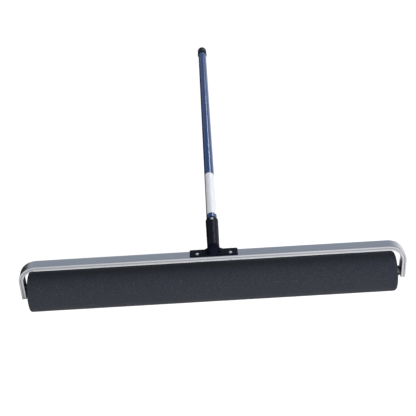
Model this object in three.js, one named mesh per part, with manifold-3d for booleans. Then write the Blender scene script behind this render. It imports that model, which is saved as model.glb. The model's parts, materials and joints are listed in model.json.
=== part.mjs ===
// Tennis court squeegee. A foam roller turns on an axle between the arms of a bent aluminium bar,
// and a long tube handle stands in a moulded socket that is bolted on top of the bar.
//
// Millimetres. Every piece is modelled in the frame of the bent bar: the origin is the middle of
// the axle, X runs along the axle, Y along the handle and Z from the axle up to the bar.
// At the end that frame is tilted until the roller and the handle's far end lie on the floor.
import * as THREE from "three";
import { mergeVertices } from "three/addons/utils/BufferGeometryUtils.js";
import Module from "manifold-3d";

const wasm = await Module();
wasm.setup();

// Roller
const roller_length = 914.4;
const roller_diameter = 101.6;
const foam_rim_radius = 4;
const core_diameter = 48.3;
const core_wall = 3.7;
const side_play = 2.3;

// Plugs in the ends of the roller's core
const plug_flange_thickness = 2.5;
const plug_flange_inset = 0.6;
const plug_length = 30;
const plug_wall = 3;
const plug_rib_thickness = 2.4;
const plug_rib_count = 6;

// Flanged bushes in the plugs
const bush_wall = 3;
const bush_length = 24;
const bush_flange_width = 3;
const bush_flange_thickness = 2;
const hub_wall = 3;

// Axle and what is threaded on it
const axle_diameter = 12.7;
const axle_bevel = 0.8;
const washer_diameter = 25;
const washer_thickness = 1.6;
const spacer_wall = 3;
const spacer_length = 1.8;
const axle_screw_diameter = 8;
const axle_screw_length = 32;
const axle_screw_head_diameter = 16;
const axle_screw_head_depth = 4.4;
const axle_screw_key = 5;
const axle_screw_key_depth = 2.6;
const tapped_extra_depth = 4;

// Bent bar, as wide as the roller and what is threaded on the axle beside it, 961.8 over all
const bar_width = 28;
const bar_thickness = 12;
const bar_corner_radius = 1.6;
const bar_groove_width = 3.6;
const bar_groove_depth = 1;
const bend_radius = 47;
const bar_height = 85.2;
const arm_reach = 11.5;

// Handle tube, its cap and its screw
const handle_diameter = 27;
const handle_wall = 1.6;
const handle_length = 1219.2;
const cap_wall = 1.5;
const cap_skirt = 36;
const cap_end_thickness = 4;
const cap_end_radius = 6;
const cap_bead = 0.6;
const cap_bead_width = 4;
const handle_screw_diameter = 4.2;
const handle_screw_length = 12;
const handle_screw_head_diameter = 8.4;
const handle_screw_head_height = 2.6;
const handle_screw_setback = 13.5;
const dome_edge_share = 0.25;

// Moulded socket, flared from its flange to its mouth, and its flange
const socket_wall = 1.4;
const socket_flare = 1;
const socket_reach = 119;
const socket_mouth_radius = 1.2;
const socket_lift = 1;
const flange_length = 118.6;
const flange_width = 27;
const flange_thickness = 3.4;
const flange_shift = 1.4;
const flange_corner_radius = 3;
const flange_bevel = 0.6;
const gusset_radius = 6;
const gusset_height = 5;

// Bolts that hold the flange on the bar, a little right of the bar's middle
const bracket_shift = 5.2;
const bolt_spacing = 81;
const bolt_offset = -5;
const bolt_diameter = 5;
const bolt_head_diameter = 9.5;
const bolt_head_height = 2.9;
const bolt_key = 3;
const bolt_key_depth = 1.6;
const bolt_end = 0.8;
const nut_width = 8;
const nut_height = 2.7;
const nut_chamfer = 0.7;
const bolt_washer_diameter = 10.5;
const bolt_washer_thickness = 1;

// Clearances: between pieces that touch, in the turning bores, round screws, and the overrun of a cut
const seat_gap = 0.3;
const running_gap = 0.3;
const screw_gap = 0.3;
const overrun = 2;

// How round the round things are
const roller_sides = 96;
const turned_sides = 36;
const screw_sides = 20;
const bend_steps = 12;
const arc_steps = 4;
const corner_steps = 2;
const same_point = 1e-6;

// Places worked out from the sizes above
const bar_underside = bar_height - bar_thickness;
const roller_half = roller_length / 2;
const roller_radius = roller_diameter / 2;
const roller_shift = -side_play;
const core_bore = core_diameter - 2 * core_wall;
const axle_bore = axle_diameter + 2 * running_gap;
const bush_diameter = axle_bore + 2 * bush_wall;
const bush_flange_diameter = bush_diameter + 2 * bush_flange_width;
const plug_bore = bush_diameter + 2 * seat_gap;
const hub_diameter = plug_bore + 2 * hub_wall;
const plug_diameter = core_bore - 2 * seat_gap;
const socket_bore = handle_diameter + 2 * seat_gap;
const socket_diameter = socket_bore + 2 * socket_wall;
const handle_height = bar_height + socket_lift + socket_diameter / 2;
const flange_base = bar_height + seat_gap;
const flange_top = flange_base + flange_thickness;
const flange_front = flange_shift - flange_width / 2;
const flange_back = flange_shift + flange_width / 2;
const dome_centre = flange_front + socket_diameter / 2;
const handle_start = dome_centre + seat_gap;
const handle_screw_y = socket_reach - handle_screw_setback;
const handle_end = handle_start + handle_length;
const cap_diameter = handle_diameter + 2 * seat_gap + 2 * cap_wall;
const cap_end = handle_end + seat_gap + cap_end_thickness;

// Where each part of a roller end lies, counted from the middle of the roller out to the arm
const plug_face = roller_half + seat_gap + plug_flange_thickness;
const bush_face = plug_face + seat_gap + bush_flange_thickness;
const washer_inner = bush_face + side_play + running_gap;
const washer_outer = washer_inner + washer_thickness;
const spacer_inner = washer_outer + seat_gap;
const spacer_outer = spacer_inner + spacer_length;
const arm_inner = spacer_outer + seat_gap;
const frame_half = arm_inner + bar_thickness;

const materials = {
  aluminium: new THREE.MeshStandardMaterial({ color: 0xb4b9c2, roughness: 0.38, metalness: 1 }),
  foam: new THREE.MeshStandardMaterial({ color: 0x2b2d35, roughness: 0.95, metalness: 0 }),
  pipe: new THREE.MeshStandardMaterial({ color: 0xd8d8d4, roughness: 0.5, metalness: 0 }),
  moulding: new THREE.MeshStandardMaterial({ color: 0x15171f, roughness: 0.42, metalness: 0 }),
  nylon: new THREE.MeshStandardMaterial({ color: 0x24262c, roughness: 0.45, metalness: 0 }),
  steel: new THREE.MeshStandardMaterial({ color: 0xc4c6c8, roughness: 0.3, metalness: 1 }),
  blue_paint: new THREE.MeshStandardMaterial({ color: 0x3c5f9e, roughness: 0.3, metalness: 0.1 }),
};

// Solids: a closed geometry as a solid that can be cut and joined, and back again
function solidOf(geometry) {
  const bare = new THREE.BufferGeometry();
  bare.setAttribute("position", geometry.getAttribute("position"));
  bare.setIndex(geometry.getIndex());
  const shared = mergeVertices(bare);
  return new wasm.Manifold(
    new wasm.Mesh({
      numProp: 3,
      vertProperties: shared.getAttribute("position").array,
      triVerts: new Uint32Array(shared.getIndex().array),
    }),
  );
}

function geometryOf(solid) {
  const mesh = solid.getMesh();
  const geometry = new THREE.BufferGeometry();
  geometry.setAttribute("position", new THREE.BufferAttribute(mesh.vertProperties, 3));
  geometry.setIndex(new THREE.BufferAttribute(mesh.triVerts, 1));
  geometry.computeVertexNormals();
  return geometry;
}

function cut(body, ...tools) {
  return tools.reduce((left, tool) => left.subtract(tool), body);
}

function joined(first, ...others) {
  return others.reduce((whole, other) => whole.add(other), first);
}

// A profile of [along, radius] points turned about the X axis. It starts and ends on the axis,
// or it is a ring's outline, which is closed here.
function turned(profile, sides = turned_sides) {
  const outline = profile.map(([along, radius]) => new THREE.Vector2(radius, along));
  if (THREE.ShapeUtils.isClockWise(outline)) outline.reverse();
  const last = outline[outline.length - 1];
  if (outline[0].x > 0 || last.x > 0) outline.push(outline[0].clone());
  return solidOf(new THREE.LatheGeometry(outline, sides).rotateZ(-Math.PI / 2));
}

// Points [along, radius] on a quarter round between two directions, given in right angles
function quarter(centre_along, centre_radius, size, from, to, steps = arc_steps) {
  return Array.from({ length: steps + 1 }, (_, step) => {
    const angle = (from + ((to - from) * step) / steps) * (Math.PI / 2);
    return [centre_along + size * Math.cos(angle), centre_radius + size * Math.sin(angle)];
  });
}

// A plain round pin or cutter along X
function pin(from, to, diameter, sides = screw_sides) {
  return turned([[from, 0], [from, diameter / 2], [to, diameter / 2], [to, 0]], sides);
}

// A ring along X
function ring(from, to, outer, inner, sides = turned_sides) {
  const outline = [[from, inner / 2], [from, outer / 2], [to, outer / 2], [to, inner / 2]];
  return turned(outline, sides);
}

// A six-sided bar along X, as wide across its flats as given
function hexagon(from, to, across_flats) {
  const bar = new THREE.CylinderGeometry(1, 1, to - from, 6);
  const corner = across_flats / Math.sqrt(3);
  bar.scale(corner, 1, corner);
  bar.rotateZ(-Math.PI / 2).translate((from + to) / 2, 0, 0);
  return solidOf(bar);
}

// What is turned along X is stood up along Z, or laid along the handle, Y
const alongZ = (solid) => solid.rotate([0, -90, 0]);
const alongY = (solid) => solid.rotate([0, 0, 90]);

// A closed section carried through a row of placings, with a flat cap at each end
function swept(section, placings) {
  const count = section.length;
  const positions = placings.flatMap((placing) =>
    section.flatMap((point) => new THREE.Vector3(point.x, point.y, 0).applyMatrix4(placing).toArray()),
  );
  const index = [];
  for (let row = 0; row + 1 < placings.length; row += 1) {
    for (let column = 0; column < count; column += 1) {
      const next = (column + 1) % count;
      const a = row * count + column;
      const b = row * count + next;
      index.push(a, b, b + count, a, b + count, a + count);
    }
  }
  const last_row = (placings.length - 1) * count;
  for (const [a, b, c] of THREE.ShapeUtils.triangulateShape(section, [])) {
    index.push(c, b, a, last_row + a, last_row + b, last_row + c);
  }
  const geometry = new THREE.BufferGeometry();
  geometry.setAttribute("position", new THREE.Float32BufferAttribute(positions, 3));
  geometry.setIndex(index);
  return solidOf(geometry);
}

// The bent bar's section: across is its width, up its thickness; a shallow groove in both edges
function barSection() {
  const across = bar_width / 2;
  const up = bar_thickness / 2;
  const radius = bar_corner_radius;
  const groove = bar_groove_width / 2;
  const shape = new THREE.Shape();
  shape.moveTo(radius - across, -up);
  shape.lineTo(across - radius, -up);
  shape.absarc(across - radius, radius - up, radius, -Math.PI / 2, 0);
  shape.lineTo(across, -groove);
  shape.quadraticCurveTo(across - 2 * bar_groove_depth, 0, across, groove);
  shape.lineTo(across, up - radius);
  shape.absarc(across - radius, up - radius, radius, 0, Math.PI / 2);
  shape.lineTo(radius - across, up);
  shape.absarc(radius - across, up - radius, radius, Math.PI / 2, Math.PI);
  shape.lineTo(-across, groove);
  shape.quadraticCurveTo(2 * bar_groove_depth - across, 0, -across, -groove);
  shape.lineTo(-across, radius - up);
  shape.absarc(radius - across, radius - up, radius, Math.PI, 1.5 * Math.PI);
  const points = shape.getPoints(corner_steps);
  return points.filter((point, place) => point.distanceTo(points.at(place - 1)) > same_point);
}

// The bar's middle line: up the left arm, round a bend, across the top and down the right arm
function barPlacings() {
  const middle_radius = bend_radius - bar_thickness / 2;
  const bend_x = frame_half - bend_radius;
  const bend_z = bar_height - bend_radius;
  const place = (x, z, outward) => {
    const thickness = new THREE.Vector3(Math.cos(outward), 0, Math.sin(outward));
    const width = new THREE.Vector3(0, 1, 0);
    const travel = new THREE.Vector3().crossVectors(width, thickness);
    return new THREE.Matrix4().makeBasis(width, thickness, travel).setPosition(x, 0, z);
  };
  const bend = (side, from, to) =>
    Array.from({ length: bend_steps + 1 }, (_, step) => {
      const outward = from + ((to - from) * step) / bend_steps;
      const x = side * bend_x + middle_radius * Math.cos(outward);
      return place(x, bend_z + middle_radius * Math.sin(outward), outward);
    });
  const arm_x = frame_half - bar_thickness / 2;
  return [
    place(-arm_x, -arm_reach, Math.PI),
    ...bend(-1, Math.PI, Math.PI / 2),
    ...bend(1, Math.PI / 2, 0),
    place(arm_x, -arm_reach, 0),
  ];
}

// The two sides of what comes in pairs: the right-hand one is drawn, the left one is its mirror image
const sides = { left: -1, right: 1 };
const onSide = (solid, side) => (side < 0 ? solid.mirror([1, 0, 0]) : solid);

// A countersunk screw's body, drawn along X with its flush face at the arm's outer face
function countersunk(gap) {
  const head = axle_screw_head_diameter / 2 + gap;
  const shank = axle_screw_diameter / 2 + gap;
  const tip = frame_half - axle_screw_length - gap;
  return turned(
    [
      [tip, 0],
      [tip, shank],
      [frame_half - axle_screw_head_depth - gap, shank],
      [frame_half - gap, head],
      [frame_half + gap, head],
      [frame_half + gap, 0],
    ],
    screw_sides,
  );
}

function axleScrew() {
  const key = hexagon(frame_half - axle_screw_key_depth, frame_half + overrun, axle_screw_key);
  return cut(countersunk(0), key);
}

function frameBar() {
  const blank = swept(barSection(), barPlacings());
  const screw_holes = Object.values(sides).map((side) => onSide(countersunk(screw_gap), side));
  const bolt_hole = alongZ(
    pin(bar_underside - overrun, bar_height + overrun, bolt_diameter + 2 * screw_gap),
  );
  const bolt_holes = Object.values(sides).map((side) =>
    bolt_hole.translate([bracket_shift + (side * bolt_spacing) / 2, bolt_offset, 0]),
  );
  return cut(blank, ...screw_holes, ...bolt_holes);
}

function foamSleeve() {
  const bore = core_diameter / 2 + seat_gap;
  const rim = foam_rim_radius;
  return turned(
    [
      [-roller_half, bore],
      ...quarter(rim - roller_half, roller_radius - rim, rim, 2, 1),
      ...quarter(roller_half - rim, roller_radius - rim, rim, 1, 0),
      [roller_half, bore],
    ],
    roller_sides,
  );
}

function coreTube() {
  return ring(-roller_half, roller_half, core_diameter, core_bore);
}

// A plug: a disc that covers the core's end, an outer wall and a hub joined by ribs
function endPlug() {
  const tail = plug_face - plug_length;
  const disc_back = roller_half + seat_gap;
  const disc_diameter = core_diameter - 2 * plug_flange_inset;
  const disc = ring(disc_back, plug_face, disc_diameter, plug_bore);
  const root = disc_back + plug_flange_thickness / 2;
  const wall = ring(tail, root, plug_diameter, plug_diameter - 2 * plug_wall);
  const hub = ring(tail, root, hub_diameter, plug_bore);
  const rib_inner = plug_bore / 2 + hub_wall / 2;
  const rib_outer = (plug_diameter - plug_wall) / 2;
  const rib = new THREE.BoxGeometry(root - tail, rib_outer - rib_inner, plug_rib_thickness);
  rib.translate((root + tail) / 2, (rib_outer + rib_inner) / 2, 0);
  const ribs = Array.from({ length: plug_rib_count }, (_, place) =>
    solidOf(rib).rotate([(360 * place) / plug_rib_count, 0, 0]),
  );
  return joined(disc, wall, hub, ...ribs);
}

function bush() {
  const flange_back_face = plug_face + seat_gap;
  return turned([
    [bush_face - bush_length, axle_bore / 2],
    [bush_face - bush_length, bush_diameter / 2],
    [flange_back_face, bush_diameter / 2],
    [flange_back_face, bush_flange_diameter / 2],
    [bush_face, bush_flange_diameter / 2],
    [bush_face, axle_bore / 2],
  ]);
}

function axleRod() {
  const end = arm_inner - seat_gap;
  const radius = axle_diameter / 2;
  const rod = turned([
    [-end, 0],
    [-end, radius - axle_bevel],
    [axle_bevel - end, radius],
    [end - axle_bevel, radius],
    [end, radius - axle_bevel],
    [end, 0],
  ]);
  const bottom = frame_half - axle_screw_length - tapped_extra_depth;
  const tapping = pin(bottom, end + overrun, axle_screw_diameter + 2 * screw_gap);
  return cut(rod, tapping, onSide(tapping, -1));
}

function thrustWasher() {
  return ring(washer_inner, washer_outer, washer_diameter, axle_bore);
}

function axleSpacer() {
  return ring(spacer_inner, spacer_outer, axle_bore + 2 * spacer_wall, axle_bore);
}

// The socket, drawn along X with the flange's front edge where Y will have it
function socketTube() {
  const radius = socket_diameter / 2;
  const lip = socket_mouth_radius;
  return turned([
    [flange_front, 0],
    ...quarter(dome_centre, 0, radius, 2, 1, 2 * arc_steps).slice(1),
    [flange_back, radius],
    ...quarter(socket_reach - lip, radius + socket_flare - lip, lip, 1, 0),
    [socket_reach, 0],
  ]);
}

// Seen from above: the foot that carries the socket's domed front down to the flange
function footOutline() {
  const radius = socket_diameter / 2;
  const shape = new THREE.Shape();
  shape.absarc(0, dome_centre, radius, Math.PI, 2 * Math.PI);
  shape.lineTo(radius, flange_back);
  shape.lineTo(-radius, flange_back);
  return shape;
}

// Seen from above: the web behind the flange, with a hollow curve in both corners
function gussetOutline() {
  const radius = socket_diameter / 2;
  const spread = radius + gusset_radius;
  const tip = flange_back + gusset_radius;
  const shape = new THREE.Shape();
  shape.moveTo(-spread, flange_shift);
  shape.lineTo(spread, flange_shift);
  shape.lineTo(spread, flange_back);
  shape.absarc(spread, tip, gusset_radius, -Math.PI / 2, -Math.PI, true);
  shape.lineTo(-radius, tip);
  shape.absarc(-spread, tip, gusset_radius, 0, -Math.PI / 2, true);
  return shape;
}

function flangeOutline() {
  const half = flange_length / 2;
  const radius = flange_corner_radius;
  const shape = new THREE.Shape();
  shape.absarc(radius - half, flange_front + radius, radius, Math.PI, 1.5 * Math.PI);
  shape.absarc(half - radius, flange_front + radius, radius, 1.5 * Math.PI, 2 * Math.PI);
  shape.absarc(half - radius, flange_back - radius, radius, 0, Math.PI / 2);
  shape.absarc(radius - half, flange_back - radius, radius, Math.PI / 2, Math.PI);
  return shape;
}

// An outline seen from above, from one height to another, with softened edges
function slab(outline, bottom, top, bevel) {
  const depth = top - bottom - 2 * bevel;
  const geometry = new THREE.ExtrudeGeometry(outline, {
    depth,
    curveSegments: 2 * arc_steps,
    bevelEnabled: bevel > 0,
    bevelThickness: bevel,
    bevelSize: bevel,
    bevelOffset: -bevel,
    bevelSegments: corner_steps,
  });
  geometry.translate(0, 0, bottom + bevel);
  return solidOf(geometry);
}

function handleSocket() {
  const tube = alongY(socketTube()).translate([0, 0, handle_height]);
  const flange = slab(flangeOutline(), flange_base, flange_top, flange_bevel);
  const foot = slab(footOutline(), flange_base, handle_height, 0);
  const gusset = slab(gussetOutline(), flange_base, flange_base + gusset_height, flange_bevel);
  const bore = alongY(
    pin(handle_start - seat_gap, socket_reach + overrun, socket_bore, turned_sides),
  ).translate([0, 0, handle_height]);
  const bolt_hole = alongZ(
    pin(flange_base - overrun, flange_top + overrun, bolt_diameter + 2 * screw_gap),
  );
  const bolt_holes = Object.values(sides).map((side) =>
    bolt_hole.translate([(side * bolt_spacing) / 2, bolt_offset, 0]),
  );
  return cut(joined(tube, flange, foot, gusset), bore, handleScrewHole(), ...bolt_holes);
}

function handleScrewHole() {
  const top = handle_height + socket_diameter / 2 + socket_flare + overrun;
  return alongZ(
    pin(handle_height, top, handle_screw_diameter + 2 * screw_gap),
  ).translate([0, handle_screw_y, 0]);
}

function handleTube() {
  const tube = ring(handle_start, handle_end, handle_diameter, handle_diameter - 2 * handle_wall);
  return cut(alongY(tube).translate([0, 0, handle_height]), handleScrewHole());
}

// A domed head on a shank, drawn along X with the underside of the head at zero
function domedScrew(head_diameter, head_height, shank_diameter, length) {
  const head = head_diameter / 2;
  const shank = shank_diameter / 2;
  const edge = head_height * dome_edge_share;
  const rise = head_height - edge;
  const dome_radius = (head * head + rise * rise) / (2 * rise);
  const spread = Math.asin(head / dome_radius) / (Math.PI / 2);
  return turned(
    [
      [-length, 0],
      [-length, shank],
      [0, shank],
      [0, head],
      ...quarter(head_height - dome_radius, 0, dome_radius, spread, 0),
    ],
    screw_sides,
  );
}

function handleScrew() {
  const flare_share = (handle_screw_y - flange_back) / (socket_reach - flange_back);
  const seat = handle_height + socket_diameter / 2 + socket_flare * flare_share + seat_gap;
  const screw = domedScrew(
    handle_screw_head_diameter,
    handle_screw_head_height,
    handle_screw_diameter,
    handle_screw_length,
  );
  return alongZ(screw).translate([0, handle_screw_y, seat]);
}

function handleEndCap() {
  const mouth = handle_end - cap_skirt;
  const inner_end = cap_end - cap_end_thickness;
  const radius = cap_diameter / 2;
  const bore = handle_diameter / 2 + seat_gap;
  const cap = turned([
    [mouth, bore],
    [mouth, radius + cap_bead],
    [mouth + cap_bead_width, radius + cap_bead],
    [mouth + cap_bead_width + cap_bead, radius],
    ...quarter(cap_end - cap_end_radius, radius - cap_end_radius, cap_end_radius, 1, 0),
    [cap_end, 0],
    [inner_end, 0],
    [inner_end, bore],
  ]);
  return alongY(cap).translate([0, 0, handle_height]);
}

function bracketBolt(side) {
  const seat = flange_top + seat_gap;
  const nut_bottom = bar_underside - 2 * seat_gap - bolt_washer_thickness - nut_height;
  const length = seat - nut_bottom + bolt_end;
  const screw = domedScrew(bolt_head_diameter, bolt_head_height, bolt_diameter, length);
  const key = hexagon(bolt_head_height - bolt_key_depth, bolt_head_height + overrun, bolt_key);
  return alongZ(cut(screw, key)).translate([(side * bolt_spacing) / 2, bolt_offset, seat]);
}

function bracketWasher(side) {
  const top = bar_underside - seat_gap;
  const washer = ring(
    top - bolt_washer_thickness,
    top,
    bolt_washer_diameter,
    bolt_diameter + 2 * screw_gap,
    screw_sides,
  );
  return alongZ(washer).translate([(side * bolt_spacing) / 2, bolt_offset, 0]);
}

function bracketNut(side) {
  const top = bar_underside - 2 * seat_gap - bolt_washer_thickness;
  const bottom = top - nut_height;
  const corner = nut_width / Math.sqrt(3);
  const chamfered = turned(
    [
      [bottom, 0],
      [bottom, corner - nut_chamfer],
      [bottom + nut_chamfer / 2, corner],
      [top - nut_chamfer / 2, corner],
      [top, corner - nut_chamfer],
      [top, 0],
    ],
    screw_sides,
  );
  const hole = pin(bottom - overrun, top + overrun, bolt_diameter + 2 * screw_gap);
  const nut = cut(hexagon(bottom, top, nut_width).intersect(chamfered), hole);
  return alongZ(nut).translate([(side * bolt_spacing) / 2, bolt_offset, 0]);
}

// The assembly
function named(name, solid, material) {
  const mesh = new THREE.Mesh(geometryOf(solid), material);
  mesh.name = name;
  return mesh;
}

const bracket = new THREE.Group();
bracket.position.x = bracket_shift;
bracket.add(
  named("handle_socket", handleSocket(), materials.moulding),
  named("handle_tube", handleTube(), materials.blue_paint),
  named("handle_screw", handleScrew(), materials.steel),
  named("handle_end_cap", handleEndCap(), materials.moulding),
);

const frame = new THREE.Group();
frame.add(
  bracket,
  named("frame_bar", frameBar(), materials.aluminium),
  named("axle_rod", axleRod(), materials.steel),
);

const roller = new THREE.Group();
roller.position.x = roller_shift;
roller.add(
  named("foam_sleeve", foamSleeve(), materials.foam),
  named("core_tube", coreTube(), materials.pipe),
);

for (const [name, side] of Object.entries(sides)) {
  frame.add(
    named("axle_screw_" + name, onSide(axleScrew(), side), materials.steel),
    named("axle_spacer_" + name, onSide(axleSpacer(), side), materials.nylon),
    named("thrust_washer_" + name, onSide(thrustWasher(), side), materials.nylon),
  );
  bracket.add(
    named("bracket_bolt_" + name, bracketBolt(side), materials.steel),
    named("bracket_washer_" + name, bracketWasher(side), materials.steel),
    named("bracket_nut_" + name, bracketNut(side), materials.steel),
  );
  roller.add(
    named("end_plug_" + name, onSide(endPlug(), side), materials.moulding),
    named("bush_" + name, onSide(bush(), side), materials.nylon),
  );
}

// The tilt that brings the cap's rounded end down to the floor on which the roller lies
function restingTilt() {
  const reach = cap_end - cap_end_radius;
  const height = handle_height - cap_diameter / 2 + cap_end_radius;
  const drop = (roller_radius - cap_end_radius) / Math.hypot(reach, height);
  return Math.atan2(height, reach) + Math.asin(drop);
}

const tilted = new THREE.Group();
tilted.rotation.x = -restingTilt();
tilted.add(frame, roller);

// The floor is at zero height, and the origin is under the middle of the whole squeegee
const squeegee = new THREE.Group();
squeegee.add(tilted);
const extent = new THREE.Box3().setFromObject(squeegee, true);
const centre = extent.getCenter(new THREE.Vector3());
tilted.position.set(-centre.x, -centre.y, -extent.min.z);

export default squeegee;
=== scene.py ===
import json
import math

import bmesh
import bpy
from mathutils import Matrix, Vector, noise


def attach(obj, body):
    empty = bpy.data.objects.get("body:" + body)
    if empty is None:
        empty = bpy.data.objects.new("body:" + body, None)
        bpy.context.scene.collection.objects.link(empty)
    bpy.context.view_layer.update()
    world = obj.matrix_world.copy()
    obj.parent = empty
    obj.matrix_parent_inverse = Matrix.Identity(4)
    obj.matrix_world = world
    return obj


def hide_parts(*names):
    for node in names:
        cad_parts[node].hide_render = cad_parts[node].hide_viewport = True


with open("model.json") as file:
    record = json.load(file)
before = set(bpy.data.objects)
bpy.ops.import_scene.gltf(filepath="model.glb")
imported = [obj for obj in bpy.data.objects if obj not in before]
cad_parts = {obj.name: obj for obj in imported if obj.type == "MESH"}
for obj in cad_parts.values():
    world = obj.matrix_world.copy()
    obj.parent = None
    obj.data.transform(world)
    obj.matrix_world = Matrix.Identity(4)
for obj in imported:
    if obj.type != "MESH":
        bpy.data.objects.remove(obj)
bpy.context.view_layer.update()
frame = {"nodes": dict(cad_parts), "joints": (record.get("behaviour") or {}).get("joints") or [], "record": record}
nodes = frame["nodes"]

# The bar's frame, from the hinge and from the flat face at the handle's end
axle = Vector(frame["joints"][0]["pos_m"])
mounts = {mount["name"]: mount for mount in frame["record"]["mounts"]}
along = Vector(mounts["handle_end"]["axis"]).normalized()
TOOL = Matrix.Translation(axle) @ Matrix((
    (1, 0, 0, 0),
    (0, along.y, -along.z, 0),
    (0, along.z, along.y, 0),
    (0, 0, 0, 1),
))
FROM_TOOL = TOOL.inverted()

# Sizes of the bar, as in the part's source
BAR_CORNER = 0.0016
BAR_GROOVE_WIDTH = 0.0036
BAR_GROOVE_DEPTH = 0.001
BAR_THICKNESS = 0.012
BEND_RADIUS = 0.047
BOLT_HOLE = 0.0056
SCREW_HOLE = 0.0086
SCREW_HEAD_HOLE = 0.0166
SCREW_HEAD_DEPTH = 0.0047
SCREW_HEAD_RIM = 0.0003

# Steps of the bar's mesh: round its section, and along it
BAR_CORNER_STEPS = 6
BAR_GROOVE_STEPS = 10
BAR_FACE_STEPS = 6
BAR_ARM_STEPS = 6
BAR_BEND_STEPS = 36
BAR_TOP_STEPS = 40

# Cutters: how deep one goes into the bar, how far it stands out of a face, how high a bolt
# hole's cutter goes from the flange's underside, and how many sides each has
CUT_DEPTH = 0.02
CUT_OVER = 0.002
BOLT_CUT_HEIGHT = 0.006
BAR_HOLE_SIDES = 48
FLANGE_HOLE_SIDES = 32
BORE_SIDES = 64

# Sizes of the socket, as in the part's source
FLANGE_THICKNESS = 0.0034
FLANGE_WIDTH = 0.027
FLANGE_CORNER = 0.003
FLANGE_GAP = 0.0003
SOCKET_WALL = 0.0014
SOCKET_FLARE = 0.001
SOCKET_MOUTH_RADIUS = 0.0012
SOCKET_GAP = 0.0003
GUSSET_RADIUS = 0.006
GUSSET_HEIGHT = 0.005

# The socket's mesh: steps of its curves, and the grid that runs its solids together
SOCKET_SIDES = 96
SOCKET_DOME_STEPS = 24
SOCKET_MOUTH_STEPS = 6
SOCKET_FOOT_STEPS = 32
SOCKET_CORNER_STEPS = 8
SOCKET_VOXEL = 0.0007
SOCKET_SMOOTHING = 0.5
SOCKET_SMOOTHING_ROUNDS = 5

# Foam sleeve; a rim is (long, deep)
FOAM_RIM_LEFT = (0.003, 0.003)
FOAM_RIM_RIGHT = (0.0085, 0.005)
FOAM_GAP = 0.0003
FOAM_AROUND = 128
FOAM_ALONG = 260
FOAM_RIM_STEPS = 6
FOAM_FACE_STEPS = 8
FOAM_WAVE = 0.0003
FOAM_WAVE_SIZE = 0.03
FOAM_PIT = 0.00012
FOAM_PIT_SIZE = 0.006

# Bare white sticker on the tube
LABEL_START = 0.140
LABEL_END = 0.342
LABEL_FROM_DEG = -57
LABEL_TO_DEG = 200
LABEL_CORNER = 0.003
LABEL_LIFT = 0.00003
LABEL_THICKNESS = 0.00012
LABEL_RIPPLE = 0.00004
LABEL_RIPPLE_SIZE = 0.02
LABEL_AROUND = 72
LABEL_ALONG = 64
LABEL_CORNER_STEPS = 6

# Shading: how near corners are welded, and how far faces may turn and still shade as one
WELD_DISTANCE = 0.00001
SMOOTH_LIMIT_DEG = 32

# Camera: its place and turn in the bar's frame, fitted to the photograph, and its lens
CAMERA_PLACE = (0.00648, -1.81207, 1.38469)
CAMERA_YAW_DEG = -0.268
CAMERA_PITCH_DEG = 32.757
CAMERA_ROLL_DEG = -3.53
CAMERA_LENS_MM = 78.355
CAMERA_SENSOR_MM = 36

# Floor, and the wall round it
FLOOR_SIZE = 160.0
FLOOR_GLOW = 0.99
BACKDROP_RADIUS = 60.0
BACKDROP_HEIGHT = 60.0
BACKDROP_SIDES = 64
BACKDROP_GLOW = 1.1

# World: colours from the horizon up, and how its strength falls off towards the far left
WORLD_TONES = (
    (0.0, (0.70, 0.70, 0.72)),
    (0.30, (0.44, 0.51, 0.62)),
    (0.42, (0.345, 0.39, 0.455)),
    (0.62, (0.325, 0.365, 0.43)),
    (1.0, (0.42, 0.44, 0.48)),
)
WORLD_LEFT_X = (-0.8, -0.45)
WORLD_LEFT_STRENGTH = (0.10, 1.0)

# Glow of the cards: colour and strength, and for the front one (x, brightness) along the bar
CARD_GLOWS = {
    "dark_card": ((0.022, 0.017, 0.016), 1.0),
    "warm_card": ((0.10, 0.045, 0.03), 1.0),
    "front_shade": ((0.385, 0.38, 0.365), 1.0),
    "bright_card": ((0.98, 0.99, 1.0), 0.72),
    "grey_card": ((0.36, 0.36, 0.37), 1.0),
}
FRONT_TONES = ((-0.7, 0.80), (-0.45, 0.88), (0.0, 1.0), (0.3, 1.12), (0.6, 1.0))

# Cards: name, glow, x and y of two corners, the heights of its two long edges, and the rays
# that meet it. One whose heights are equal lies just above the floor, and the others stand.
LYING = (0.002, 0.002)
CARDS = (
    ("dark_card_lying", "dark_card", (-1.6, -0.52), (-0.06, 1.6), LYING, ("glossy",)),
    ("dark_card_under", "dark_card", (-0.7, -0.60), (0.47, -0.50), LYING, ("glossy",)),
    ("dark_card_standing", "dark_card", (-1.6, -0.5), (-1.6, 1.6), (0.0, 0.30), ("glossy",)),
    ("shade_card", "warm_card", (-0.40, -0.5), (-0.03, 0.75), LYING, ("glossy", "diffuse")),
    ("front_card", "front_card", (-1.4, -2.4), (1.4, -0.68), LYING, ("glossy",)),
    ("front_shade", "front_shade", (-1.6, -2.4), (1.6, -0.56), LYING, ("diffuse",)),
    ("bright_card", "bright_card", (1.2, 2.4), (2.8, 0.2), (0.0, 0.75), ("glossy",)),
    ("grey_card", "grey_card", (-0.75, -0.70), (-0.40, -0.60), LYING, ("glossy",)),
)

# Lights over and before the part: name, place, target, size, watts and tint
LIGHTS = (
    ("overhead", (0.85, 0.05, 2.5), (0, -0.45, 0), (3.0, 2.0), 19, (0.74, 0.86, 1.0)),
    ("front", (0.5, -2.95, 0.8), (0, -0.5, 0.05), (2.2, 0.6), 58, (1.0, 0.97, 0.95)),
)

# Strip light behind the handle: how far off the handle's line it stands, and to which side
STRIP_TARGET = (0, -0.2, 0.1)
STRIP_POWER = 99
STRIP_DISTANCE = 6.0
STRIP_OFF_LINE_DEG = 31
STRIP_TO_SIDE_DEG = 38.5
STRIP_LENGTH = 2.2
STRIP_WIDTH = 0.9
STRIP_TINT = (0.85, 0.93, 1.0)


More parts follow.
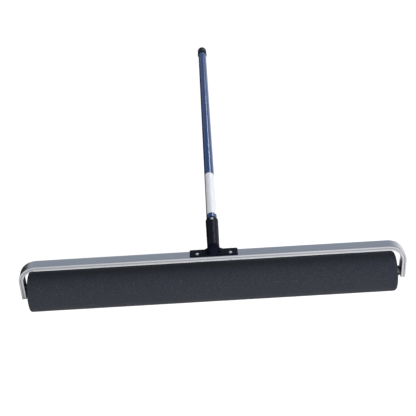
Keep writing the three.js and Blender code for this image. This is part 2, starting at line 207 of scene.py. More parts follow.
def tool_box(node):
    """Lowest and highest corner of a CAD node in the bar's frame."""
    points = [FROM_TOOL @ vertex.co for vertex in nodes[node].data.vertices]
    low = Vector([min(p[axis] for p in points) for axis in range(3)])
    high = Vector([max(p[axis] for p in points) for axis in range(3)])
    return low, high


# Materials


class Nodes:
    """A short way to write a material's node tree."""

    def __init__(self, name):
        self.material = bpy.data.materials.new(name)
        self.material.use_nodes = True
        self.tree = self.material.node_tree
        self.shader = self.tree.nodes["Principled BSDF"]

    def add(self, kind, inputs=None, **settings):
        node = self.tree.nodes.new(kind)
        for key, value in settings.items():
            setattr(node, key, value)
        for key, value in (inputs or {}).items():
            self.put(node.inputs[key], value)
        return node

    def put(self, socket, value):
        if isinstance(value, bpy.types.NodeSocket):
            self.tree.links.new(value, socket)
        else:
            socket.default_value = value

    def set(self, **values):
        for key, value in values.items():
            self.put(self.shader.inputs[key.replace("_", " ")], value)

    def coordinates(self, attribute=None):
        """Where a point is: in the bar's frame, or by a stored attribute."""
        if attribute:
            return self.add("ShaderNodeAttribute", attribute_name=attribute).outputs["Vector"]
        inputs = {
            "Vector": self.add("ShaderNodeTexCoord").outputs["Object"],
            "Location": FROM_TOOL.to_translation(),
            "Rotation": FROM_TOOL.to_euler(),
        }
        return self.add("ShaderNodeMapping", inputs).outputs["Vector"]

    def stretched(self, vector, scale):
        inputs = {"Vector": vector, "Scale": scale}
        return self.add("ShaderNodeMapping", inputs).outputs["Vector"]

    def noise(self, vector, scale=1.0, detail=2.0, roughness=0.5):
        inputs = {"Vector": vector, "Scale": scale, "Detail": detail, "Roughness": roughness}
        return self.add("ShaderNodeTexNoise", inputs).outputs["Fac"]

    def cells(self, vector, scale):
        inputs = {"Vector": vector, "Scale": scale}
        return self.add("ShaderNodeTexVoronoi", inputs).outputs["Distance"]

    def remap(self, value, start, end):
        """Carry a range (low, high) to another, and hold the value within it."""
        inputs = {"Value": value, 1: start[0], 2: start[1], 3: end[0], 4: end[1]}
        return self.add("ShaderNodeMapRange", inputs).outputs["Result"]

    def mix(self, share, first, second):
        """Mix two colours. Inputs 6 and 7 and output 2 are the node's colour sockets."""
        inputs = {0: share, 6: first, 7: second}
        return self.add("ShaderNodeMix", inputs, data_type="RGBA").outputs[2]

    def bump(self, height, strength, distance, under=None):
        inputs = {"Height": height, "Strength": strength, "Distance": distance}
        if under is not None:
            inputs["Normal"] = under
        return self.add("ShaderNodeBump", inputs).outputs["Normal"]


def colour(red, green, blue):
    return (red, green, blue, 1.0)


def aluminium_material():
    """Satin anodised extrusion: fine lines run along the bar, with a few scuffs."""
    n = Nodes("anodised_aluminium")
    flow = n.coordinates("flow")
    lines = n.noise(n.stretched(flow, (4, 900, 1)), detail=3.0, roughness=0.6)
    cloud = n.noise(n.coordinates(), scale=9.0, detail=3.0)
    marks = n.noise(n.stretched(flow, (60, 420, 1)), detail=4.0, roughness=0.7)
    scuff = n.remap(marks, (0.66, 0.8), (0, 1))
    base = n.mix(cloud, colour(0.595, 0.60, 0.625), colour(0.64, 0.645, 0.67))
    base = n.mix(scuff, base, colour(0.72, 0.725, 0.74))
    n.set(Base_Color=base, Metallic=1.0)
    n.set(Roughness=n.remap(lines, (0.3, 0.7), (0.24, 0.36)))
    n.set(Normal=n.bump(lines, strength=0.12, distance=0.0002))
    return n.material


def foam_material():
    """Charcoal cellular foam: open pores with painted shade in them, dark, pale and warm specks, and faint
    mottling.
    """
    n = Nodes("charcoal_foam")
    place = n.coordinates()
    pores = n.cells(place, scale=900.0)
    grain = n.noise(place, scale=420.0, detail=3.0, roughness=0.65)
    speckle = n.noise(place, scale=340.0, detail=3.0, roughness=0.7)
    patch = n.noise(place, scale=11.0)
    fleck = n.noise(place, scale=360.0, detail=1.0)
    dark_specks = n.remap(speckle, (0.35, 0.50), (0.45, 0))
    pale_specks = n.remap(speckle, (0.52, 0.72), (0, 0.55))
    # Painted shade: the colour is darkened in the pores, the hollows of the pore bump
    painted_pore_shade = n.remap(pores, (0.0, 0.35), (0.5, 0))
    warm_specks = n.remap(fleck, (0.70, 0.76), (0, 0.55))
    base = n.mix(patch, colour(0.0268, 0.0300, 0.0395), colour(0.0300, 0.0326, 0.0404))
    base = n.mix(dark_specks, base, colour(0.021, 0.024, 0.032))
    base = n.mix(pale_specks, base, colour(0.066, 0.070, 0.083))
    # Painted shade in the pores: near-black mixed in where the bump is hollow
    base = n.mix(painted_pore_shade, base, colour(0.011, 0.012, 0.016))
    base = n.mix(warm_specks, base, colour(0.130, 0.115, 0.085))
    n.set(Base_Color=base, Roughness=0.95, Sheen_Weight=0.08, Sheen_Roughness=0.5)
    n.set(Sheen_Tint=colour(0.9, 0.92, 1.0), Specular_IOR_Level=0.15)
    coarse = n.bump(grain, strength=0.5, distance=0.0006)
    n.set(Normal=n.bump(pores, strength=0.6, distance=0.0005, under=coarse))
    return n.material


def moulding_material():
    """Black moulded plastic with a fine spark-eroded grain."""
    n = Nodes("black_moulding")
    place = n.coordinates()
    grain = n.noise(place, scale=1400.0)
    wear = n.noise(place, scale=60.0, detail=4.0, roughness=0.6)
    base = n.mix(wear, colour(0.0026, 0.0032, 0.0086), colour(0.0050, 0.0058, 0.0120))
    n.set(Base_Color=base, Roughness=n.remap(wear, (0.3, 0.7), (0.36, 0.48)))
    n.set(Specular_IOR_Level=0.05, Normal=n.bump(grain, strength=0.15, distance=0.0002))
    return n.material


def paint_material():
    """Blue powder coat on the tube: faint orange peel and hairline rubs along it."""
    n = Nodes("blue_paint")
    place = n.coordinates()
    peel = n.noise(place, scale=380.0, detail=1.5)
    rubs = n.noise(n.stretched(place, (900, 14, 900)), detail=3.0, roughness=0.6)
    rubbed = n.remap(rubs, (0.35, 0.75), (0, 1))
    base = n.mix(rubbed, colour(0.009, 0.045, 0.158), colour(0.014, 0.056, 0.190))
    n.set(Base_Color=base, Roughness=n.remap(rubs, (0.3, 0.7), (0.21, 0.26)))
    n.set(Specular_IOR_Level=0.2, Normal=n.bump(peel, strength=0.015, distance=0.0003))
    return n.material


def label_material():
    """Bare warm white film with a faint satin tooth, slightly duller here and there."""
    n = Nodes("white_film")
    place = n.coordinates()
    tooth = n.noise(place, scale=700.0)
    stain = n.noise(place, scale=45.0, detail=4.0, roughness=0.65)
    stained = n.remap(stain, (0.4, 0.75), (0, 1))
    base = n.mix(stained, colour(0.965, 0.915, 0.875), colour(0.925, 0.875, 0.835))
    n.set(Base_Color=base, Roughness=n.remap(tooth, (0.3, 0.7), (0.42, 0.55)))
    n.set(Normal=n.bump(tooth, strength=0.06, distance=0.0002))
    return n.material


def steel_material():
    """Bright zinc-plated steel, brushed by handling."""
    n = Nodes("plated_steel")
    place = n.coordinates()
    rubs = n.noise(n.stretched(place, (260, 1800, 1800)), detail=3.0, roughness=0.6)
    cloud = n.noise(place, scale=140.0, detail=3.0)
    base = n.mix(cloud, colour(0.72, 0.72, 0.71), colour(0.84, 0.84, 0.83))
    n.set(Base_Color=base, Metallic=1.0, Roughness=n.remap(rubs, (0.3, 0.7), (0.2, 0.34)))
    n.set(Normal=n.bump(rubs, strength=0.08, distance=0.0001))
    return n.material


def plastic_material(name, light, dark, roughness):
    """Plain natural plastic with slight flow marks, between two colours and two roughnesses."""
    n = Nodes(name)
    place = n.coordinates()
    flow = n.noise(place, scale=90.0, detail=4.0, roughness=0.6)
    tooth = n.noise(place, scale=900.0)
    n.set(Base_Color=n.mix(flow, dark, light), Subsurface_Weight=0.05)
    n.set(Roughness=n.remap(flow, (0.3, 0.7), roughness))
    n.set(Normal=n.bump(tooth, strength=0.08, distance=0.0002))
    return n.material


def floor_material():
    """Plain white floor that glows a little, as an evenly lit sweep does."""
    n = Nodes("white_floor")
    tone = n.noise(n.coordinates(), scale=3.0)
    n.set(Base_Color=n.mix(tone, colour(0.17, 0.17, 0.17), colour(0.19, 0.19, 0.19)))
    n.set(Roughness=0.9, Emission_Color=colour(1.0, 1.0, 1.0), Emission_Strength=FLOOR_GLOW)
    return n.material


def glow_material(name, tint, strength):
    n = Nodes(name)
    n.set(Base_Color=colour(0, 0, 0), Roughness=1.0, Specular_IOR_Level=0.0)
    n.set(Emission_Color=colour(*tint), Emission_Strength=strength)
    return n.material


def fill_ramp(ramp, tones):
    """Give a colour ramp its (position, colour) tones, the first at 0 and the last at 1."""
    elements = ramp.color_ramp.elements
    for position, tone in tones[1:-1]:
        elements.new(position).color = colour(*tone)
    elements[0].color = colour(*tones[0][1])
    elements[-1].color = colour(*tones[-1][1])


def ramp_material(name, tones):
    """A grey glow that changes along X: (x, brightness) pairs, in metres."""
    n = Nodes(name)
    first, last = tones[0][0], tones[-1][0]
    split = n.add("ShaderNodeSeparateXYZ", {0: n.add("ShaderNodeTexCoord").outputs["Object"]})
    share = n.remap(split.outputs["X"], (first, last), (0.0, 1.0))
    ramp = n.add("ShaderNodeValToRGB", {"Fac": share})
    fill_ramp(ramp, [((x - first) / (last - first), [level] * 3) for x, level in tones])
    n.set(Base_Color=colour(0, 0, 0), Roughness=1.0, Specular_IOR_Level=0.0)
    n.set(Emission_Color=ramp.outputs["Color"], Emission_Strength=1.0)
    return n.material


# Mesh helpers


def piece(name, mesh, material, body):
    """A new object from a mesh drawn in the bar's frame, riding on a CAD body."""
    mesh.transform(TOOL)
    made = bpy.data.objects.new(name, mesh)
    bpy.context.scene.collection.objects.link(made)
    made.data.materials.clear()
    made.data.materials.append(material)
    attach(made, body)
    return made


def mesh_from(name, points, faces, smooth=True):
    mesh = bpy.data.meshes.new(name)
    mesh.from_pydata([tuple(p) for p in points], [], faces)
    mesh.validate()
    mesh.polygons.foreach_set("use_smooth", [smooth] * len(mesh.polygons))
    return mesh


def face_outward(mesh):
    """Turn the faces of a closed mesh so that all of them look out."""
    bm = bmesh.new()
    bm.from_mesh(mesh)
    bmesh.ops.recalc_face_normals(bm, faces=bm.faces)
    bm.to_mesh(mesh)
    bm.free()


def grid_faces(rows, columns, closed_columns=False, closed_rows=False):
    """Quads over a grid of points that is stored row by row."""
    faces = []
    for row in range(rows if closed_rows else rows - 1):
        for column in range(columns if closed_columns else columns - 1):
            below = (row + 1) % rows
            beside = (column + 1) % columns
            faces.append((
                row * columns + column,
                row * columns + beside,
                below * columns + beside,
                below * columns + column,
            ))
    return faces


def modified(mesh, *steps):
    """A copy of a mesh after a row of modifiers, each given as (type, settings)."""
    temporary = bpy.data.objects.new("temporary", mesh)
    bpy.context.scene.collection.objects.link(temporary)
    for kind, settings in steps:
        modifier = temporary.modifiers.new(kind.lower(), kind)
        for key, value in settings.items():
            setattr(modifier, key, value)
    bpy.context.view_layer.update()
    evaluated = temporary.evaluated_get(bpy.context.evaluated_depsgraph_get())
    result = bpy.data.meshes.new_from_object(evaluated)
    bpy.data.objects.remove(temporary)
    return result


def cutter(mesh):
    """An object that a boolean modifier can cut with, kept out of the scene's pieces."""
    made = bpy.data.objects.new("cutter", mesh)
    bpy.context.scene.collection.objects.link(made)
    made.hide_render = True
    return made


def cut_away(mesh, cutters):
    """A copy of a mesh with each of the closed meshes in cutters taken out of it."""
    objects = [cutter(tool) for tool in cutters]
    steps = [
        ("BOOLEAN", {"operation": "DIFFERENCE", "object": tool, "solver": "EXACT"})
        for tool in objects
    ]
    result = modified(mesh, *steps)
    for tool in objects:
        bpy.data.objects.remove(tool)
    return result


def turned(profile, matrix, sides):
    """A closed solid of revolution: (along, radius) points turned about the matrix's X axis."""
    bm = bmesh.new()
    rings = []
    for distance, radius in profile:
        ring = []
        for side in range(sides):
            angle = 2 * math.pi * side / sides
            point = Vector((distance, radius * math.cos(angle), radius * math.sin(angle)))
            ring.append(bm.verts.new(matrix @ point))
        rings.append(ring)
    for first, second in zip(rings, rings[1:]):
        for side in range(sides):
            beside = (side + 1) % sides
            bm.faces.new((first[side], first[beside], second[beside], second[side]))
    bm.faces.new(rings[0])
    bm.faces.new(rings[-1])
    bmesh.ops.recalc_face_normals(bm, faces=bm.faces)
    mesh = bpy.data.meshes.new("turned")
    bm.to_mesh(mesh)
    bm.free()
    return mesh


def extruded(outline, low, high):
    """A closed solid: an outline of (x, y) points carried from one height to another."""
    bm = bmesh.new()
    bottom = [bm.verts.new((x, y, low)) for x, y in outline]
    top = [bm.verts.new((x, y, high)) for x, y in outline]
    bm.faces.new(bottom)
    bm.faces.new(top)
    for place in range(len(outline)):
        beside = (place + 1) % len(outline)
        bm.faces.new((bottom[place], bottom[beside], top[beside], top[place]))
    bmesh.ops.recalc_face_normals(bm, faces=bm.faces)
    mesh = bpy.data.meshes.new("extruded")
    bm.to_mesh(mesh)
    bm.free()
    return mesh


def arc(centre_x, centre_y, radius, start_deg, end_deg, steps):
    """Points on an arc, both ends included."""
    points = []
    for step in range(steps + 1):
        angle = math.radians(start_deg + (end_deg - start_deg) * step / steps)
        points.append((centre_x + radius * math.cos(angle), centre_y + radius * math.sin(angle)))
    return points


def together(meshes):
    """One mesh that holds several."""
    bm = bmesh.new()
    for mesh in meshes:
        bm.from_mesh(mesh)
    result = bpy.data.meshes.new("together")
    bm.to_mesh(result)
    bm.free()
    return result


def bolt_cutter(side, low, high, sides):
    """A round cutter for the hole of one bracket bolt, from one height to another."""
    bolt_low, bolt_high = tool_box("bracket_bolt_" + side)
    centre = (bolt_low + bolt_high) / 2
    upright = Matrix.Translation((centre.x, centre.y, 0)) @ Matrix.Rotation(-math.pi / 2, 4, "Y")
    return turned([(low, BOLT_HOLE / 2), (high, BOLT_HOLE / 2)], upright, sides)


def smooth_by_angle():
    """Node group that welds a mesh's split corners and shades its shallow edges smooth."""
    tree = bpy.data.node_groups.new("smooth_by_angle", "GeometryNodeTree")
    tree.interface.new_socket("Geometry", in_out="INPUT", socket_type="NodeSocketGeometry")
    tree.interface.new_socket("Geometry", in_out="OUTPUT", socket_type="NodeSocketGeometry")
    start = tree.nodes.new("NodeGroupInput")
    end = tree.nodes.new("NodeGroupOutput")
    weld = tree.nodes.new("GeometryNodeMergeByDistance")
    weld.inputs["Distance"].default_value = WELD_DISTANCE
    faces = tree.nodes.new("GeometryNodeSetShadeSmooth")
    faces.domain = "FACE"
    edges = tree.nodes.new("GeometryNodeSetShadeSmooth")
    edges.domain = "EDGE"
    angle = tree.nodes.new("GeometryNodeInputMeshEdgeAngle")
    shallow = tree.nodes.new("FunctionNodeCompare")
    shallow.data_type = "FLOAT"
    shallow.operation = "LESS_THAN"
    shallow.inputs[1].default_value = math.radians(SMOOTH_LIMIT_DEG)
    link = tree.links.new
    link(start.outputs[0], weld.inputs["Geometry"])
    link(weld.outputs["Geometry"], faces.inputs["Geometry"])
    link(faces.outputs["Geometry"], edges.inputs["Geometry"])
    link(angle.outputs["Unsigned Angle"], shallow.inputs[0])
    link(shallow.outputs["Result"], edges.inputs["Shade Smooth"])
    link(edges.outputs["Geometry"], end.inputs[0])
    return tree


def smooth(obj, group):
    modifier = obj.modifiers.new("smooth", "NODES")
    modifier.node_group = group


# The bent bar


def bar_section(width):
    """Points round the bar's section, (across, up), with rounded corners and edge grooves."""
    half = width / 2
    up = BAR_THICKNESS / 2
    radius = BAR_CORNER
    groove = []
    for step in range(BAR_GROOVE_STEPS + 1):
        share = step / BAR_GROOVE_STEPS
        lift = (2 * share - 1) * BAR_GROOVE_WIDTH / 2
        depth = BAR_GROOVE_DEPTH * math.cos((share - 0.5) * math.pi)
        groove.append((half - depth, lift))
    right = (
        arc(half - radius, radius - up, radius, -90, 0, BAR_CORNER_STEPS)
        + groove
        + arc(half - radius, up - radius, radius, 0, 90, BAR_CORNER_STEPS)
    )
    face = width - 2 * radius
    top = [(half - radius - face * k / BAR_FACE_STEPS, up) for k in range(1, BAR_FACE_STEPS)]
    left = [(-x, y) for x, y in reversed(right)]
    bottom = [(-x, -up) for x, _ in top]
    return right + top + left + bottom


def bar_route(half, foot, top):
    """Rows (x, z, angle outward) along the bar's middle, from the left foot to the right one."""
    middle = BEND_RADIUS - BAR_THICKNESS / 2
    bend_x, bend_z = half - BEND_RADIUS, top - BEND_RADIUS
    arm_x = half - BAR_THICKNESS / 2
    rows = []
    for step in range(BAR_ARM_STEPS):
        share = step / BAR_ARM_STEPS
        rows.append((-arm_x, foot + (bend_z - foot) * share, math.pi))
    for step in range(BAR_BEND_STEPS + 1):
        outward = math.pi - step / BAR_BEND_STEPS * math.pi / 2
        x, z = middle * math.cos(outward), middle * math.sin(outward)
        rows.append((-bend_x + x, bend_z + z, outward))
    for step in range(1, BAR_TOP_STEPS):
        x = -bend_x + 2 * bend_x * step / BAR_TOP_STEPS
        rows.append((x, bend_z + middle, math.pi / 2))
    for step in range(BAR_BEND_STEPS + 1):
        outward = math.pi / 2 - step / BAR_BEND_STEPS * math.pi / 2
        x, z = middle * math.cos(outward), middle * math.sin(outward)
        rows.append((bend_x + x, bend_z + z, outward))
    for step in range(1, BAR_ARM_STEPS + 1):
        share = step / BAR_ARM_STEPS
        rows.append((arm_x, bend_z + (foot - bend_z) * share, 0.0))
    return rows


def bar_mesh():
    """The section swept along the route, with holes, and its run stored for the material."""
    low, high = tool_box("frame_bar")
    section = bar_section(high.y - low.y)
    rows = bar_route(high.x, low.z, high.z)
    around = [0.0]
    for first, second in zip(section, section[1:]):
        around.append(around[-1] + math.dist(first, second))
    points = []
    flow = []
    travelled = 0.0
    for place, (x, z, outward) in enumerate(rows):
        if place:
            travelled += math.dist((x, z), rows[place - 1][:2])
        for (across, up), turn in zip(section, around):
            points.append((x + up * math.cos(outward), across, z + up * math.sin(outward)))
            flow.append((travelled, turn, 0.0))
    count = len(section)
    faces = grid_faces(len(rows), count, closed_columns=True)
    faces.append(tuple(reversed(range(count))))
    faces.append(tuple(range((len(rows) - 1) * count, len(rows) * count)))
    mesh = mesh_from("bar", points, faces)
    attribute = mesh.attributes.new("flow", "FLOAT_VECTOR", "POINT")
    attribute.data.foreach_set("vector", [value for entry in flow for value in entry])
    face_outward(mesh)
    return cut_away(mesh, bar_holes(high.x, high.z))


def bar_holes(half, top):
    """Cutters for the two bolt holes and the two countersunk holes in the arms."""
    shank, head = SCREW_HOLE / 2, SCREW_HEAD_HOLE / 2
    profile = [
        (half - CUT_DEPTH, shank),
        (half - SCREW_HEAD_DEPTH, shank),
        (half - SCREW_HEAD_RIM, head),
        (half + CUT_OVER, head),
    ]
    tools = []
    for side, sign in (("left", -1), ("right", 1)):
        tools.append(bolt_cutter(side, top - CUT_DEPTH, top + CUT_OVER, BAR_HOLE_SIDES))
        tools.append(turned(profile, Matrix.Scale(sign, 4, (1, 0, 0)), BAR_HOLE_SIDES))
    return tools


# The socket


def socket_mesh():
    """The moulding: its solids are run together on a fine voxel grid, which fillets them."""
    low, high = tool_box("handle_socket")
    tube_low, tube_high = tool_box("handle_tube")
    front, reach = low.y, high.y
    half_length = (high.x - low.x) / 2
    middle = Matrix.Translation(((low.x + high.x) / 2, 0, 0))
    radius = (tube_high.x - tube_low.x) / 2 + SOCKET_GAP + SOCKET_WALL
    height = high.z - radius - SOCKET_FLARE
    base = tool_box("frame_bar")[1].z + FLANGE_GAP
    back = front + FLANGE_WIDTH
    along_y = Matrix.Translation((0, 0, height)) @ Matrix.Rotation(math.pi / 2, 4, "Z")

    dome_centre = front + radius
    dome = arc(dome_centre, 0, radius, 180, 90, SOCKET_DOME_STEPS)[1:]
    lip = SOCKET_MOUTH_RADIUS
    mouth = arc(reach - lip, radius + SOCKET_FLARE - lip, lip, 90, 0, SOCKET_MOUTH_STEPS)
    tube = turned(dome + [(back, radius)] + mouth, along_y, SOCKET_SIDES)

    corner = FLANGE_CORNER
    flange_outline = (
        arc(corner - half_length, front + corner, corner, 180, 270, SOCKET_CORNER_STEPS)
        + arc(half_length - corner, front + corner, corner, 270, 360, SOCKET_CORNER_STEPS)
        + arc(half_length - corner, back - corner, corner, 0, 90, SOCKET_CORNER_STEPS)
        + arc(corner - half_length, back - corner, corner, 90, 180, SOCKET_CORNER_STEPS)
    )
    flange = extruded(flange_outline, base, base + FLANGE_THICKNESS)

    foot_front = arc(0, dome_centre, radius, 180, 360, SOCKET_FOOT_STEPS)
    foot = extruded(foot_front + [(radius, back), (-radius, back)], base, height)

    spread = radius + GUSSET_RADIUS
    tip = back + GUSSET_RADIUS
    gusset_outline = (
        [(-spread, front + FLANGE_WIDTH / 2), (spread, front + FLANGE_WIDTH / 2)]
        + arc(spread, tip, GUSSET_RADIUS, 270, 180, SOCKET_CORNER_STEPS)
        + arc(-spread, tip, GUSSET_RADIUS, 0, -90, SOCKET_CORNER_STEPS)
    )
    gusset = extruded(gusset_outline, base, base + GUSSET_HEIGHT)

    whole = together([tube, flange, foot, gusset])
    whole.transform(middle)
    run = modified(
        whole,
        ("REMESH", {"mode": "VOXEL", "voxel_size": SOCKET_VOXEL, "use_smooth_shade": True}),
        ("SMOOTH", {"factor": SOCKET_SMOOTHING, "iterations": SOCKET_SMOOTHING_ROUNDS}),
    )
    bore = radius - SOCKET_WALL
    bore_profile = [(dome_centre, bore), (reach + CUT_OVER, bore)]
    tools = [turned(bore_profile, middle @ along_y, BORE_SIDES)]
    hole_low, hole_high = base - CUT_OVER, base + BOLT_CUT_HEIGHT
    for side in ("left", "right"):
        tools.append(bolt_cutter(side, hole_low, hole_high, FLANGE_HOLE_SIDES))
    return cut_away(run, tools)


# The foam sleeve


def rim_profile(end, inward, bore, outer, rim):
    """(x, radius) points up a sleeve's end face and over its rim, whose rim is (long, deep)."""
    long, deep = rim
    profile = []
    for step in range(FOAM_FACE_STEPS):
        profile.append((end, bore + (outer - deep - bore) * step / FOAM_FACE_STEPS))
    for step in range(FOAM_RIM_STEPS + 1):
        angle = math.pi / 2 * step / FOAM_RIM_STEPS
        profile.append((
            end + inward * long * (1 - math.cos(angle)),
            outer - deep * (1 - math.sin(angle)),
        ))
    return profile


def sleeve_mesh():
    """A long soft sleeve: rims rounded by the cut, faint waves along it and fine pitting."""
    low, high = tool_box("foam_sleeve")
    outer = high.z
    bore = tool_box("core_tube")[1].z + FOAM_GAP
    profile = rim_profile(low.x, 1, bore, outer, FOAM_RIM_LEFT)
    first, last = low.x + FOAM_RIM_LEFT[0], high.x - FOAM_RIM_RIGHT[0]
    for step in range(1, FOAM_ALONG):
        profile.append((first + (last - first) * step / FOAM_ALONG, outer))
    profile += reversed(rim_profile(high.x, -1, bore, outer, FOAM_RIM_RIGHT))
    points = []
    for x, radius in profile:
        share = (radius - bore) / (outer - bore)
        for side in range(FOAM_AROUND):
            angle = 2 * math.pi * side / FOAM_AROUND
            direction = Vector((0, math.cos(angle), math.sin(angle)))
            point = Vector((x, 0, 0)) + direction * radius
            wave = 0.5 + 0.5 * noise.noise(point / FOAM_WAVE_SIZE)
            pit = 0.5 + 0.5 * noise.noise(point / FOAM_PIT_SIZE)
            points.append(point - direction * share * (FOAM_WAVE * wave + FOAM_PIT * pit))
    faces = grid_faces(len(profile), FOAM_AROUND, closed_columns=True, closed_rows=True)
    mesh = mesh_from("sleeve", points, faces)
    face_outward(mesh)
    return mesh


# The bare sticker


def label_mesh():
    """A thin film with rounded corners, wrapped on the tube."""
    tube_low, tube_high = tool_box("handle_tube")
    centre = (tube_low + tube_high) / 2
    radius = (tube_high.x - tube_low.x) / 2 + LABEL_LIFT
    middle = math.radians(LABEL_FROM_DEG + LABEL_TO_DEG) / 2
    half_width = radius * math.radians(LABEL_TO_DEG - LABEL_FROM_DEG) / 2
    length = LABEL_END - LABEL_START
    straight = length - 2 * LABEL_CORNER
    corner_rows = [
        LABEL_CORNER * (1 - math.cos(math.pi / 2 * k / LABEL_CORNER_STEPS))
        for k in range(LABEL_CORNER_STEPS)
    ]
    distances = (
        corner_rows
        + [LABEL_CORNER + straight * k / LABEL_ALONG for k in range(LABEL_ALONG + 1)]
        + [length - d for d in reversed(corner_rows)]
    )
    points = []
    for lift in (0.0, LABEL_THICKNESS):
        for distance in distances:
            edge = min(distance, length - distance, LABEL_CORNER)
            inset = LABEL_CORNER - math.sqrt(LABEL_CORNER**2 - (LABEL_CORNER - edge) ** 2)
            for column in range(LABEL_AROUND + 1):
                spread = (2 * column / LABEL_AROUND - 1) * (half_width - inset)
                turn = middle + spread / radius
                ripple = noise.noise(Vector((spread, distance, 0)) / LABEL_RIPPLE_SIZE)
                out = radius + lift + LABEL_RIPPLE * max(0.0, ripple)
                points.append((
                    centre.x + out * math.sin(turn),
                    LABEL_START + distance,
                    centre.z + out * math.cos(turn),
                ))
    rows = len(distances)
    count = LABEL_AROUND + 1
    sheet = rows * count
    under = grid_faces(rows, count)
    faces = [tuple(reversed(face)) for face in under]
    faces += [tuple(index + sheet for index in face) for face in under]
    rim = (
        list(range(count))
        + [row * count + LABEL_AROUND for row in range(1, rows)]
        + [sheet - 1 - k for k in range(1, count)]
        + [row * count for row in range(rows - 2, 0, -1)]
    )
    for first, second in zip(rim, rim[1:] + rim[:1]):
        faces.append((first, second, second + sheet, first + sheet))
    mesh = mesh_from("label", points, faces)
    face_outward(mesh)
    return mesh


# Stage: world, floor, backdrop, lights, and cards that only some rays meet


def stage_piece(name, points, faces, material):
    made = bpy.data.objects.new(name, mesh_from(name, points, faces, smooth=False))
    bpy.context.scene.collection.objects.link(made)
    made.data.materials.append(material)
    return made


def stage_quad(name, corners, material):
    return stage_piece(name, corners, [(0, 1, 2, 3)], material)


def meet_only(obj, rays):
    """Leave a stage piece to the kinds of rays that are named."""
    for kind in ("camera", "diffuse", "glossy", "shadow", "transmission"):
        setattr(obj, "visible_" + kind, kind in rays)


def area_light(name, place, target, size, power, tint):
    data = bpy.data.lights.new(name, "AREA")
    data.shape = "RECTANGLE"
    data.size, data.size_y = size
    data.energy = power
    data.color = tint
    made = bpy.data.objects.new(name, data)
    bpy.context.scene.collection.objects.link(made)
    made.location = place
    made.rotation_euler = (Vector(target) - Vector(place)).to_track_quat("-Z", "Y").to_euler()
    made.visible_camera = False
    return made


def make_world():
    """A plain studio: pale at the horizon, grey above, lighter overhead, dim at the far left."""
    world = bpy.data.worlds.new("studio")
    bpy.context.scene.world = world
    world.use_nodes = True
    tree = world.node_tree
    background = tree.nodes["Background"]
    place = tree.nodes.new("ShaderNodeTexCoord")
    split = tree.nodes.new("ShaderNodeSeparateXYZ")
    ramp = tree.nodes.new("ShaderNodeValToRGB")
    side = tree.nodes.new("ShaderNodeMapRange")
    fill_ramp(ramp, WORLD_TONES)
    for socket, value in zip(side.inputs[1:5], WORLD_LEFT_X + WORLD_LEFT_STRENGTH):
        socket.default_value = value
    tree.links.new(place.outputs["Generated"], split.inputs[0])
    tree.links.new(split.outputs["Z"], ramp.inputs["Fac"])
    tree.links.new(ramp.outputs["Color"], background.inputs["Color"])
    tree.links.new(split.outputs["X"], side.inputs["Value"])
    tree.links.new(side.outputs["Result"], background.inputs["Strength"])


def make_floor():
    half = FLOOR_SIZE / 2
    corners = [(-half, -half, 0), (half, -half, 0), (half, half, 0), (-half, half, 0)]
    stage_quad("floor", corners, floor_material())


def make_backdrop():
    """A white wall round the floor that only the camera sees, so that low views end in white."""
    turns = [2 * math.pi * side / BACKDROP_SIDES for side in range(BACKDROP_SIDES)]
    points = [
        (BACKDROP_RADIUS * math.cos(turn), BACKDROP_RADIUS * math.sin(turn), height)
        for height in (0.0, BACKDROP_HEIGHT)
        for turn in turns
    ]
    faces = grid_faces(2, BACKDROP_SIDES, closed_columns=True)
    white = glow_material("white_backdrop", (1.0, 1.0, 1.0), BACKDROP_GLOW)
    meet_only(stage_piece("backdrop", points, faces, white), ("camera",))


def card_corners(x0, y0, x1, y1, low, high):
    """Corners of a card between two places, lying where its heights are equal."""
    if low == high:
        return [(x0, y0, low), (x1, y0, low), (x1, y1, low), (x0, y1, low)]
    return [(x0, y0, low), (x1, y1, low), (x1, y1, high), (x0, y0, high)]


def make_cards():
    """Glowing cards for the gloss to mirror, and two that dim the light from below."""
    glows = {name: glow_material(name, *glow) for name, glow in CARD_GLOWS.items()}
    glows["front_card"] = ramp_material("front_card", FRONT_TONES)
    for name, glow, first, second, heights, rays in CARDS:
        corners = card_corners(*first, *second, *heights)
        meet_only(stage_quad(name, corners, glows[glow]), rays)


def light_handle(receivers):
    """A strip light that lights the receivers alone, and shines along the handle's right."""
    off, side = math.radians(STRIP_OFF_LINE_DEG), math.radians(STRIP_TO_SIDE_DEG)
    outward = Vector((math.sin(side), 0, math.cos(side)))
    away = outward * math.sin(off) + Vector((0, math.cos(off), 0))
    target = Vector(STRIP_TARGET)
    place = target + away * STRIP_DISTANCE
    size = (STRIP_LENGTH, STRIP_WIDTH)
    strip = area_light("strip", place, target, size, STRIP_POWER, STRIP_TINT)
    length_axis = outward * math.cos(off) - Vector((0, math.sin(off), 0))
    width_axis = away.cross(length_axis)
    strip.rotation_euler = Matrix((length_axis, width_axis, away)).transposed().to_euler()
    lit = bpy.data.collections.new("lit_by_strip")
    for receiver in receivers:
        lit.objects.link(receiver)
    strip.light_linking.receiver_collection = lit


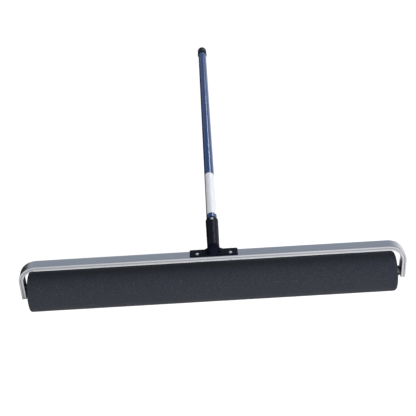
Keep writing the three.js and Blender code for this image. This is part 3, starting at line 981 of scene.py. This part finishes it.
def make_camera():
    data = bpy.data.cameras.new("camera")
    data.lens = CAMERA_LENS_MM
    data.sensor_width = CAMERA_SENSOR_MM
    made = bpy.data.objects.new("camera", data)
    bpy.context.scene.collection.objects.link(made)
    turn = (
        Matrix.Rotation(math.radians(-CAMERA_YAW_DEG), 4, "Z")
        @ Matrix.Rotation(math.radians(90 - CAMERA_PITCH_DEG), 4, "X")
        @ Matrix.Rotation(math.radians(CAMERA_ROLL_DEG), 4, "Z")
    )
    made.matrix_world = TOOL @ Matrix.Translation(CAMERA_PLACE) @ turn
    bpy.context.scene.camera = made


# The scene

make_camera()
make_world()
make_floor()
make_backdrop()
make_cards()
for light in LIGHTS:
    area_light(*light).visible_glossy = False
bpy.context.scene.view_settings.view_transform = "Standard"

aluminium = aluminium_material()
foam = foam_material()
moulding = moulding_material()
paint = paint_material()
steel = steel_material()
pipe = plastic_material(
    "white_pipe",
    light=colour(0.78, 0.78, 0.76),
    dark=colour(0.70, 0.70, 0.68),
    roughness=(0.37, 0.50),
)
nylon = plastic_material(
    "black_nylon",
    light=colour(0.022, 0.024, 0.029),
    dark=colour(0.014, 0.016, 0.020),
    roughness=(0.35, 0.48),
)

bar = piece("bent_bar", bar_mesh(), aluminium, "frame")
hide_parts("frame_bar")
socket = piece("moulded_socket", socket_mesh(), moulding, "frame")
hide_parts("handle_socket")
sleeve = piece("foam_cover", sleeve_mesh(), foam, "roller")
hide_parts("foam_sleeve")
label = piece("handle_label", label_mesh(), label_material(), "frame")

light_handle([
    label,
    socket,
    nodes["handle_tube"],
    nodes["handle_screw"],
    nodes["handle_end_cap"],
    nodes["bracket_bolt_left"],
    nodes["bracket_bolt_right"],
])

finish_of = {
    "aluminium": aluminium,
    "foam": foam,
    "moulding": moulding,
    "blue_paint": paint,
    "steel": steel,
    "white_plastic": pipe,
    "nylon": nylon,
}
smoothing = smooth_by_angle()
for row in frame["record"]["subparts"]:
    node = nodes[row["node"]]
    node.data.materials.clear()
    node.data.materials.append(finish_of[row["material_slot"]])
    smooth(node, smoothing)
smooth(bar, smoothing)
smooth(socket, smoothing)
